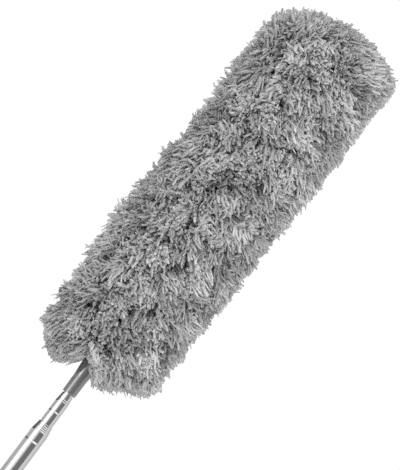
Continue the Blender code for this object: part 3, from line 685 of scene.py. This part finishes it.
class Surface:
    """The envelope as a surface on which an equal share of the area gives a place."""

    def __init__(self):
        self.line = envelope()
        self.sums = [0.0]
        for (r0, h0), (r1, h1) in zip(self.line, self.line[1:], strict=False):
            ring = (r0 + r1) / 2 * math.hypot(r1 - r0, h1 - h0)
            self.sums.append(self.sums[-1] + ring)

    def at(self, share):
        """Radius, height and outward slope (radial, upward) at a share of the area."""
        wanted = min(max(share, 0.0), 1.0) * self.sums[-1]
        spot = 1
        while spot < len(self.sums) - 1 and self.sums[spot] < wanted:
            spot += 1
        part = (wanted - self.sums[spot - 1]) / (self.sums[spot] - self.sums[spot - 1])
        (r0, h0), (r1, h1) = self.line[spot - 1], self.line[spot]
        run, rise = r1 - r0, h1 - h0
        size = math.hypot(run, rise)
        return r0 + run * part, h0 + rise * part, (rise / size, -run / size)


def root_height(height):
    """Height over the rim at which a strand that ends at a height leaves the sleeve."""
    return min(max(height + ROOT_LIFT, LOWEST_ROOT), SLEEVE_TOP)


def along(points, x):
    """The value at x on a line of (x, value) points."""
    if x <= points[0][0]:
        return points[0][1]
    for (x0, y0), (x1, y1) in zip(points, points[1:], strict=False):
        if x <= x1:
            return y0 + (y1 - y0) * (x - x0) / (x1 - x0)
    return points[-1][1]


def trimmed(tip, stray, ragged):
    """A tip held above the pile's lower edge, which is parted round the collar, and within its
    right side."""
    low = RIM + along(LOWER_EDGE, tip.x + stray) + ragged
    tip.z = max(tip.z, low)
    widest = along(WIDEST, tip.z - RIM) + stray
    if tip.x > widest:
        tip.x = widest + (tip.x - widest) * EDGE_GIVE
    return tip


def axis_shift(height):
    """How far the pile's middle lies off the pole's axis at a height."""
    return along(AXIS_SHIFT, height)


def swell(height, angle):
    """Broad rolls of the pile, which wind round it."""
    waves = (
        math.cos(FULL_TURN * height / pitch + turns * angle + phase)
        for pitch, turns, phase in SWELLS
    )
    return SWELL_DEPTH * sum(waves)


def clump(spot):
    """How far a place on the pile stands on a crest, from about -1 to 1: crests stand out, and
    the tufts beside them lean towards them, which parts the pile between two crests."""
    return 2 * noise.noise(spot / CLUMP_SIZE)


class Tuft:
    """A tuft of the pile: where it stands, and how it leans, curls and sags."""

    def __init__(self, rng, surface, number):
        share = (number + 0.5 + rng.uniform(-PLACE_JITTER, PLACE_JITTER)) / TUFT_COUNT
        radius, self.height, slope = surface.at(share)
        angle = number * GOLDEN_ANGLE + rng.uniform(-ANGLE_JITTER, ANGLE_JITTER)
        self.out = Vector((math.cos(angle), math.sin(angle), 0))
        self.side = Vector((-self.out.y, self.out.x, 0))
        self.normal = self.out * slope[0] + Vector((0, 0, slope[1]))
        self.rise = self.normal.cross(self.side)
        self.lean = self.towards(rng.uniform(0, FULL_TURN)) * TUFT_LEAN
        self.lean *= rng.uniform(*TUFT_LEAN_RANGE)
        spot = self.out * radius + Vector((0, 0, self.height))
        crest = clump(spot)
        for way in (self.side, self.rise):
            climb = clump(spot + way * CLUMP_STEP) - clump(spot - way * CLUMP_STEP)
            self.lean += way * (climb * CLUMP_PULL)
        self.kink = self.towards(rng.uniform(0, FULL_TURN)) * TUFT_KINK
        bulge = rng.gauss(0, BULGE) + swell(self.height, angle) + crest * CLUMP_DEPTH
        # The tuft's tone is partly random and partly painted light and shade: lighter on a crest, darker in a
        # parting
        self.tone_and_painted_light = rng.gauss(0.0, TUFT_TONE) + crest * CLUMP_PAINTED_LIGHT
        self.axis_x = axis_shift(self.height)
        self.middle = self.out * (radius + bulge) + Vector((self.axis_x, 0, RIM + self.height))
        held = self.normal * GRAVITY.dot(self.normal) * DROOP_OUTWARD_LOSS
        self.sag = (GRAVITY - held) * DROOP

    def towards(self, angle):
        """A direction along the pile's surface."""
        return self.side * math.cos(angle) + self.rise * math.sin(angle)

    def root(self, tip):
        """The place on the sleeve where the strand with this tip starts."""
        out = Vector((tip.x - self.axis_x, tip.y, 0))
        out = out.normalized() if out.length > NEAR_AXIS else self.out
        foot = out * SLEEVE_RADIUS * (1 if self.height < SLEEVE_TOP else DOME_ROOT_SHARE)
        return foot + Vector((0, 0, RIM + root_height(tip.z - RIM)))

    def strand(self, rng, short):
        """A strand: the height of its tuft, and its path, tone (with the crests' painted light and shade), turn
        and width.
        """
        spread = TUFT_SPREAD * math.sqrt(rng.random())
        offset = self.towards(rng.uniform(0, FULL_TURN)) * spread
        tip = self.middle + offset * TUFT_OPENING
        tip += self.normal * (rng.uniform(*LENGTH_RANGE) * LENGTH_JITTER)
        width = 1.0
        if short:
            tip -= self.normal * rng.uniform(*SHORT_BY)
            width = SHORT_WIDTH
        own_lean = self.towards(rng.uniform(0, FULL_TURN)) * STRAND_LEAN
        own_lean *= rng.uniform(*STRAND_LEAN_RANGE)
        root = self.root(tip)
        if not short and rng.random() < WISP_SHARE:
            tip += self.normal * (WISP_REACH * rng.random())
            width = WISP_WIDTH
        ragged = rng.triangular(*EDGE_RAGGED)
        if not short and rng.random() < EDGE_WISP_SHARE:
            ragged -= EDGE_WISP_REACH * rng.random()
            width = WISP_WIDTH
        uneven = (rng.gauss(0, EDGE_STRAY), ragged)
        sway = self.sag * rng.uniform(*DROOP_RANGE)
        end = trimmed(tip + self.lean + own_lean + sway, *uneven)
        tip = trimmed(tip, *uneven) - self.sag
        turn = rng.uniform(0, FULL_TURN)
        path = []
        for step, (share, bent) in enumerate(zip(STRAND_STEP_SHARES, KINK_SHARES, strict=True)):
            curl = self.kink + self.towards(turn + CURL_TURN * step) * STRAND_KINK
            leant = (end - tip) * share**LEAN_POWER
            path.append(root.lerp(tip, share) + leant + curl * bent)
        tone_and_painted_light = min(max(MIDDLE_TONE + self.tone_and_painted_light + rng.gauss(0, STRAND_TONE), 0.0), 1.0)
        return self.height, path, tone_and_painted_light, turn, width


def strand_paths(rng):
    """Every strand of the pile, tuft by tuft."""
    surface = Surface()
    strands = []
    for number in range(TUFT_COUNT):
        tuft = Tuft(rng, surface, number)
        for strand in range(STRANDS_IN_TUFT + SHORT_STRANDS):
            strands.append(tuft.strand(rng, strand >= STRANDS_IN_TUFT))
    return strands


def draw_course(strands):
    """One course of the pile: every strand's foot is drawn out from step to step."""
    bm = bmesh.new()
    number = bm.faces.layers.int.new("strand")
    tone_and_painted_light_layer = bm.verts.layers.float.new("tone_and_painted_light")
    reach_layer = bm.verts.layers.float.new("reach")
    frames = []
    for index, (_, path, tone_and_painted_light, turn, thin) in enumerate(strands):
        line = (path[-1] - path[0]).normalized()
        across = line.orthogonal().normalized()
        over = line.cross(across)
        wide = (across * math.cos(turn) + over * math.sin(turn)) * STRAND_RADIUS * thin
        flat = (over * math.cos(turn) - across * math.sin(turn)) * STRAND_RADIUS * thin
        flat *= STRAND_FLATNESS_SHARE
        spokes = []
        for side in range(STRAND_SIDES):
            angle = FULL_TURN * side / STRAND_SIDES
            spokes.append(wide * math.cos(angle) + flat * math.sin(angle))
        frames.append(spokes)
        ring = []
        for spoke in spokes:
            vert = bm.verts.new(path[0] + spoke)
            vert[tone_and_painted_light_layer] = tone_and_painted_light
            ring.append(vert)
        foot = bm.faces.new(ring)
        foot[number] = index
    ends = bm.faces[:]
    last = len(STRAND_STEP_SHARES) - 1
    for step in range(1, last + 1):
        ends = bmesh.ops.extrude_discrete_faces(bm, faces=ends)["faces"]
        width = STRAND_TIP_SHARE if step == last else 1.0
        for face in ends:
            index = face[number]
            path = strands[index][1]
            for vert, spoke in zip(face.verts, frames[index], strict=True):
                vert.co = path[step] + spoke * width
                vert[reach_layer] = STRAND_STEP_SHARES[step]
    bm.normal_update()
    return bm


def map_strands(mesh):
    """Lay every strand on a map by its tone, with the crests' painted light and shade, and how far along the
    strand a point is.
    """
    loops = len(mesh.loops)
    corner = np.zeros(loops, np.int32)
    mesh.loops.foreach_get("vertex_index", corner)
    values = {}
    for name in ("tone_and_painted_light", "reach"):
        values[name] = np.zeros(len(mesh.vertices), np.float32)
        mesh.attributes[name].data.foreach_get("value", values[name])
    across = corner % STRAND_SIDES / STRAND_SIDES * MAP_STRAND_WIDTH
    u = MAP_MARGIN + MAP_TONES * values["tone_and_painted_light"][corner] + across
    v = MAP_MARGIN + MAP_REACH * values["reach"][corner]
    layer = mesh.uv_layers.new(name="OFBake")
    layer.data.foreach_set("uv", np.stack([u, v], 1).ravel().astype(np.float32))


def make_pile(yarn, cloth, hose_plastic, wire_steel):
    """The pile in courses from the skirt to the top, over its sleeve and the bending core."""
    strands = strand_paths(random.Random(PILE_SEED))
    strands.sort(key=lambda strand: strand[0])
    per_course = math.ceil(len(strands) / COURSE_COUNT)
    start = (0, 0, BEND_Z - BLEND_REACH)
    end = (0, 0, BEND_Z + BLEND_REACH)
    for course in range(COURSE_COUNT):
        part = strands[course * per_course : (course + 1) * per_course]
        piece = piece_of(f"pile_course_{course + 1}", draw_course(part), yarn, None)
        map_strands(piece.data)
        low = RIM + part[0][0]
        high = RIM + part[-1][0]
        if high < start[2]:
            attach(piece, "head_base")
            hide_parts("pile_lower")
        elif low > end[2]:
            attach(piece, "head_upper")
            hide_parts("pile_upper")
        else:
            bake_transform(piece)
            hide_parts("pile_lower", "pile_upper")
    make_sleeve(cloth)
    make_under_pile(cloth)
    make_bending_core(hose_plastic, wire_steel)


def make_under_pile(cloth):
    """The short dense strands under the long ones, as one soft body."""
    tips = [(radius, height) for radius, height in envelope() if height > UNDER_BOTTOM]
    line = [(radius * UNDER_SHARE, height) for radius, height in tips]
    outline = []
    for (r0, h0), (r1, h1) in zip(line, line[1:], strict=False):
        steps = max(1, round(math.hypot(r1 - r0, h1 - h0) / UNDER_STEP))
        for step in range(steps):
            part = step / steps
            outline.append((r0 + (r1 - r0) * part, h0 + (h1 - h0) * part))
    outline = [(radius, min(height, UNDER_TOP)) for radius, height in outline]
    outline.append((0, UNDER_TOP))
    outline = [(radius, RIM + height) for radius, height in outline]
    dome = CORE_HIGH.z + SLEEVE_DOME
    bore = SLEEVE_RADIUS - SLEEVE_WALL / 2
    outline += arc((0, dome), (bore, bore), 90, 0, DOME_STEPS)
    rows = round((dome - RIM - UNDER_BOTTOM) / UNDER_STEP)
    for row in range(1, rows):
        outline.append((bore, dome + (RIM + UNDER_BOTTOM - dome) * row / rows))
    outline.append((bore, RIM + UNDER_BOTTOM))
    bm = turned(outline, SMALL_SIDES)
    for vert in bm.verts:
        off_axis = Vector((vert.co.x, vert.co.y, 0)).length / UPPER_RADIUS
        vert.co.x += axis_shift(vert.co.z - RIM) * off_axis
    piece = piece_of("pile_under", bm, cloth)
    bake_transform(piece)
    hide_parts("pile_lower", "pile_upper")


def make_sleeve(cloth):
    """The knitted sleeve that the strands stand in."""
    low = RIM + SLEEVE_BOTTOM
    top = CORE_HIGH.z + SLEEVE_DOME
    inner = SLEEVE_RADIUS - SLEEVE_WALL
    outline = [(0, top + SLEEVE_RADIUS)]
    outline += arc((0, top), (SLEEVE_RADIUS, SLEEVE_RADIUS), 90, 0, DOME_STEPS)[1:]
    for row in range(1, SLEEVE_ROWS + 1):
        outline.append((SLEEVE_RADIUS, top + (low - top) * row / SLEEVE_ROWS))
    for row in range(SLEEVE_ROWS, -1, -1):
        outline.append((inner, top + (low - top) * row / SLEEVE_ROWS))
    outline += arc((0, top), (inner, inner), 0, 90, DOME_STEPS)[1:-1]
    outline.append((0, top + inner))
    piece = piece_of("pile_sleeve", turned(outline, SMALL_SIDES), cloth)
    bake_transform(piece)
    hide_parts("pile_lower", "pile_upper")


def rod_outline(radius, low, high, step):
    """Outline of a rod with rings close enough to bend smoothly."""
    rows = round((high - low) / step)
    heights = [low + (high - low) * row / rows for row in range(rows + 1)]
    return [(radius, height) for height in reversed(heights)] + [(0, low), (0, high)]


def make_bending_core(hose_plastic, wire_steel):
    """The ribbed hose and the wire inside it, which bend along with the sleeve."""
    rows = round((HOSE_HIGH.z - HOSE_LOW.z) / HOSE_RIB_PITCH) * HOSE_RIB_STEPS
    heights = [HOSE_LOW.z + (HOSE_HIGH.z - HOSE_LOW.z) * row / rows for row in range(rows + 1)]
    outline = []
    for row, height in enumerate(heights):
        dip = HOSE_RIB_DEPTH * (1 - math.cos(FULL_TURN * row / HOSE_RIB_STEPS)) / 2
        outline.append((HOSE_HIGH.x - dip, height))
    outline.reverse()
    bore = WIRE_HIGH.x + SEAT_GAP
    outline += [(bore, height) for height in heights[::HOSE_RIB_STEPS]]
    hose = piece_of("bending_hose", turned(outline, SMALL_SIDES), hose_plastic)
    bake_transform(hose)
    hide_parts("neck_hose")
    outline = rod_outline(WIRE_HIGH.x, WIRE_LOW.z, CORE_WIRE_HIGH.z, HOSE_RIB_PITCH)
    wire = piece_of("bending_wire", turned(outline, SMALL_SIDES), wire_steel)
    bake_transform(wire)
    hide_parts("core_wire_lower", "core_wire_upper")


def make_hem_band(cloth):
    """The gathered elastic round the hem, with its fine pleats."""
    middle = (BAND_LOW.z + BAND_HIGH.z) / 2
    half_height = (BAND_HIGH.z - BAND_LOW.z) / 2
    inner = SLEEVE_RADIUS
    half_wall = (BAND_HIGH.x - inner) / 2
    outline = []
    for step in range(PLEAT_STEPS):
        angle = FULL_TURN * step / PLEAT_STEPS
        reach = inner + half_wall * (1 + math.cos(angle))
        outline.append((reach, middle + half_height * math.sin(angle)))
    bm = turned(outline, PLEAT_COUNT * PLEAT_SIDES)
    for vert in bm.verts:
        around = math.atan2(vert.co.y, vert.co.x)
        radius = math.hypot(vert.co.x, vert.co.y)
        if radius > inner + half_wall:
            dip = PLEAT_DEPTH * (1 - math.cos(PLEAT_COUNT * around)) / 2 / radius
            vert.co.x -= vert.co.x * dip
            vert.co.y -= vert.co.y * dip
    band = piece_of("hem_elastic", bm, cloth)
    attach(band, "head_base")
    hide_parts("hem_band")


def make_grip(material):
    """The moulded grip: rounded ends and soft finger rings."""
    bore = OUTER_HIGH.x + SEAT_GAP
    top, bottom = GRIP_HIGH.z, GRIP_LOW.z
    rear = GRIP_HIGH.x
    edge = (GRIP_EDGE, GRIP_EDGE)
    outline = [(bore, top)]
    outline += arc((GRIP_FRONT_RADIUS - GRIP_EDGE, top - GRIP_EDGE), edge, 90, 0, ROLL_STEPS)
    body_top = top - GRIP_TAPER
    for step in range(1, GRIP_STEPS + 1):
        share = step / GRIP_STEPS
        ease = math.sin(math.radians(90) * share)
        reach = GRIP_FRONT_RADIUS + (GRIP_RADIUS - GRIP_FRONT_RADIUS) * ease
        outline.append((reach, top - GRIP_EDGE + (body_top - top + GRIP_EDGE) * share))
    first = (GRIP_RIB_COUNT - 1) * GRIP_RIB_PITCH / 2
    for rib in range(GRIP_RIB_COUNT):
        middle = (top + bottom) / 2 + first - rib * GRIP_RIB_PITCH
        outline += rolled(GRIP_RADIUS, GRIP_GROOVE_DEPTH, GRIP_GROOVE_WIDTH, middle)
    flare_top = bottom + 2 * GRIP_REAR
    for step in range(GRIP_STEPS + 1):
        share = step / GRIP_STEPS
        ease = (1 - math.cos(math.pi * share)) / 2
        outline.append((GRIP_RADIUS + (rear - GRIP_RADIUS) * ease, flare_top - GRIP_REAR * share))
    outline += arc((rear - GRIP_EDGE, bottom + GRIP_EDGE), edge, 0, -90, ROLL_STEPS)
    outline.append((bore, bottom))
    grip = piece_of("grip_moulding", turned(outline), material)
    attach(grip, "handle")
    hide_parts("hand_grip")


def make_tab(material, centre, tab_top):
    """The hanging tab: a plate with a round end and rounded edges."""
    half = TAB_WIDTH / 2
    rim = [(half, tab_top)]
    for step in range(TAB_STEPS + 1):
        angle = math.pi * step / TAB_STEPS
        rim.append((half * math.cos(angle), centre - half * math.sin(angle)))
    rim.append((-half, tab_top))
    bm = bmesh.new()
    verts = [bm.verts.new((x, -TAB_THICKNESS / 2, z)) for x, z in rim]
    raised = bmesh.ops.extrude_face_region(bm, geom=[bm.faces.new(verts)])["geom"]
    moved = [part for part in raised if isinstance(part, bmesh.types.BMVert)]
    bmesh.ops.translate(bm, verts=moved, vec=(0, TAB_THICKNESS, 0))
    bmesh.ops.recalc_face_normals(bm, faces=bm.faces)
    edges = []
    for edge in bm.edges:
        in_face = abs(edge.verts[0].co.y - edge.verts[1].co.y) < TAB_THICKNESS / 2
        low = min(vert.co.z for vert in edge.verts)
        if in_face and low < tab_top - RUN_GAP:
            edges.append(edge)
    bmesh.ops.bevel(
        bm,
        geom=edges,
        offset=TAB_EDGE,
        segments=TAB_EDGE_STEPS,
        profile=0.5,
        affect="EDGES",
        material=-1,
    )
    return piece_of("tab_part", bm, material)


def make_hole(material, centre):
    """The round bar that cuts the hole in the tab."""
    bm = bmesh.new()
    bmesh.ops.create_cone(
        bm,
        cap_ends=True,
        segments=SMALL_SIDES,
        radius1=TAB_HOLE,
        radius2=TAB_HOLE,
        depth=TAB_THICKNESS * 2,
        matrix=Matrix.Translation((0, 0, centre)) @ Matrix.Rotation(math.radians(90), 4, "X"),
    )
    return piece_of("hole_part", bm, material)


def make_cap(material):
    """The end cap: a plug and a flange with rounded edges, and the hanging tab with its hole."""
    top, bottom = CAP_HIGH.z, CAP_LOW.z
    flange_top = bottom + TAB_LENGTH + CAP_FLANGE / 2
    flange_bottom = flange_top - CAP_FLANGE
    plug = OUTER_HIGH.x - TUBE_WALL - SEAT_GAP
    edge = CAP_EDGE
    rim = CAP_HIGH.x - edge
    outline = [(0, top), (plug - edge, top), (plug, top - edge), (plug, flange_top)]
    outline.append((rim, flange_top))
    outline += arc((rim, flange_top - edge), (edge, edge), 90, 0, ROLL_STEPS)[1:]
    outline += arc((rim, flange_bottom + edge), (edge, edge), 0, -90, ROLL_STEPS)
    outline.append((0, flange_bottom))
    cap = piece_of("cap_moulding", turned(outline), material)
    centre = bottom + TAB_WIDTH / 2
    tab = make_tab(material, centre, flange_top - CAP_FLANGE / 2)
    hole = make_hole(material, centre)
    for form, operation in ((tab, "UNION"), (hole, "DIFFERENCE")):
        step = cap.modifiers.new(form.name, "BOOLEAN")
        step.operation = operation
        step.solver = "EXACT"
        step.object = form
    bpy.context.view_layer.update()
    seen = cap.evaluated_get(bpy.context.evaluated_depsgraph_get())
    mesh = bpy.data.meshes.new_from_object(seen)
    cap.modifiers.clear()
    cap.data = mesh
    for form in (tab, hole):
        bpy.data.objects.remove(form)
    cap.data.set_sharp_from_angle(angle=SMOOTH_ANGLE)
    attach(cap, "handle")
    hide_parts("hang_cap")


def make_world():
    """Plain white to the camera and in reflections, and a soft even light on the object."""
    world = bpy.data.worlds.new("studio")
    bpy.context.scene.world = world
    world.use_nodes = True
    nodes, links = world.node_tree.nodes, world.node_tree.links
    background = nodes["Background"]
    background.inputs["Color"].default_value = (1, 1, 1, 1)
    path = nodes.new("ShaderNodeLightPath")
    sees_white = path.outputs["Is Camera Ray"]
    for ray in ("Is Glossy Ray", "Is Transmission Ray"):
        either = nodes.new("ShaderNodeMath")
        either.operation = "MAXIMUM"
        links.new(sees_white, either.inputs[0])
        links.new(path.outputs[ray], either.inputs[1])
        sees_white = either.outputs["Value"]
    strength = nodes.new("ShaderNodeMapRange")
    strength.inputs["To Min"].default_value = WORLD_LEVEL
    strength.inputs["To Max"].default_value = 1.0
    links.new(sees_white, strength.inputs["Value"])
    links.new(strength.outputs["Result"], background.inputs["Strength"])


def glowing(name, level):
    """A card's surface that always shows the same level."""
    material = bpy.data.materials.new(name)
    material.use_nodes = True
    nodes = material.node_tree.nodes
    nodes.remove(nodes["Principled BSDF"])
    emission = nodes.new("ShaderNodeEmission")
    emission.inputs["Color"].default_value = (level, level, level, 1)
    surface = nodes["Material Output"].inputs["Surface"]
    material.node_tree.links.new(emission.outputs["Emission"], surface)
    return material


def make_card(name, start, end, low, high, level, radius):
    """A bent card round the object that only reflections see."""
    bm = bmesh.new()
    bearing = math.radians(start - 90)
    foot = Vector((radius * math.cos(bearing), radius * math.sin(bearing), low))
    verts = [bm.verts.new(foot), bm.verts.new(foot + Vector((0, 0, high - low)))]
    edge = bm.edges.new(verts)
    bmesh.ops.spin(
        bm,
        geom=verts + [edge],
        cent=(0, 0, 0),
        axis=(0, 0, 1),
        angle=math.radians(end - start),
        steps=CARD_STEPS,
        use_merge=False,
    )
    card = piece_of(name, bm, glowing(name, level))
    card.visible_camera = False
    card.visible_diffuse = False
    card.visible_transmission = False
    card.visible_volume_scatter = False
    card.visible_shadow = False


def make_floor():
    """A pale floor that keeps the object's shadow."""
    bm = bmesh.new()
    bmesh.ops.create_grid(bm, x_segments=1, y_segments=1, size=FLOOR_SIZE)
    bmesh.ops.translate(bm, verts=bm.verts, vec=(0, 0, CAP_LOW.z - FLOOR_DROP))
    material, shader = blank_material("floor white", specular=FLOOR_SPECULAR)
    shader.inputs["Base Color"].default_value = (FLOOR_WHITE, FLOOR_WHITE, FLOOR_WHITE, 1)
    shader.inputs["Roughness"].default_value = FLOOR_ROUGHNESS
    shader.inputs["Emission Color"].default_value = (1, 1, 1, 1)
    nodes, links = material.node_tree.nodes, material.node_tree.links
    path = nodes.new("ShaderNodeLightPath")
    lift = nodes.new("ShaderNodeMapRange")
    lift.inputs["To Min"].default_value = 0.0
    lift.inputs["To Max"].default_value = FLOOR_LIFT
    links.new(path.outputs["Is Camera Ray"], lift.inputs["Value"])
    links.new(lift.outputs["Result"], shader.inputs["Emission Strength"])
    floor = piece_of("studio_floor", bm, material)
    floor.visible_glossy = False


def add_softbox(name, bearing, lift, level):
    """A soft lamp aimed at the head from a bearing and a height angle, in degrees."""
    lamp = bpy.data.lights.new(name, "AREA")
    lamp.shape = "RECTANGLE"
    lamp.size = LAMP_WIDTH
    lamp.size_y = LAMP_HEIGHT
    lamp.energy = level * math.pi * LAMP_WIDTH * LAMP_HEIGHT
    holder = bpy.data.objects.new(name, lamp)
    holder.visible_glossy = False
    bpy.context.collection.objects.link(holder)
    turn = math.radians(bearing - 90)
    up = math.radians(lift)
    away = Vector((math.cos(turn) * math.cos(up), math.sin(turn) * math.cos(up), math.sin(up)))
    target = Vector((0, 0, RIM + LAMP_AIM))
    holder.location = target + away * LAMP_DISTANCE
    holder.rotation_euler = away.to_track_quat("Z", "Y").to_euler()


def make_studio():
    """World, floor, the cards that the steel mirrors, and soft lamps."""
    make_world()
    make_floor()
    for card in CARDS:
        make_card(*card)
    for lamp in LAMPS:
        add_softbox(*lamp)


def make_camera():
    """The photograph's view: the pole slopes up to the right, seen a little from below."""
    camera = bpy.data.cameras.new("camera")
    camera.sensor_fit = "HORIZONTAL"
    camera.sensor_width = SENSOR_WIDTH
    camera.lens = SENSOR_WIDTH * CAMERA_DISTANCE / (PHOTO_WIDTH * PIXEL_SIZE)
    camera.clip_end = CAMERA_REACH
    holder = bpy.data.objects.new("camera", camera)
    bpy.context.collection.objects.link(holder)
    below = CAMERA_BELOW
    back = Vector((0, -math.cos(below), -math.sin(below)))
    pole = Vector((0, -math.sin(below), math.cos(below)))
    across = Vector((1, 0, 0))
    right = across * POLE_SLOPE[1] + pole * POLE_SLOPE[0]
    up = pole * POLE_SLOPE[1] - across * POLE_SLOPE[0]
    dx = (PHOTO_WIDTH / 2 - RIM_PIXEL[0]) * PIXEL_SIZE
    dy = (RIM_PIXEL[1] - PHOTO_HEIGHT / 2) * PIXEL_SIZE
    target = Vector((0, 0, RIM)) + right * dx + up * dy
    turn = Matrix((right, up, back)).transposed()
    holder.matrix_world = Matrix.Translation(target + back * CAMERA_DISTANCE) @ turn.to_4x4()
    bpy.context.scene.camera = holder


def main():
    """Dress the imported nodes, model the pieces that replace them, and set up the studio."""
    scene = bpy.context.scene
    scene.view_settings.view_transform = "Standard"
    made = {look[0]: metal(*look) for look in METALS}
    made |= {look[0]: plastic(*look) for look in PLASTICS}
    made[YARN_NAME] = microfibre()
    finishes = {slot: made[name] for slot, name in SLOT_LOOKS.items()}
    for part in frame["record"]["subparts"]:
        mesh = frame["nodes"][part["node"]].data
        mesh.materials.clear()
        mesh.materials.append(finishes[part["material_slot"]])
    make_tubes(finishes["pole_steel"])
    make_collar(finishes["collar_plastic"])
    make_grip(finishes["grip_plastic"])
    make_cap(finishes["grip_plastic"])
    make_hem_band(finishes["band_rubber"])
    make_pile(
        finishes["pile_microfibre"],
        made["knitted sleeve"],
        finishes["hose_plastic"],
        finishes["wire_steel"],
    )
    make_studio()
    make_camera()


main()
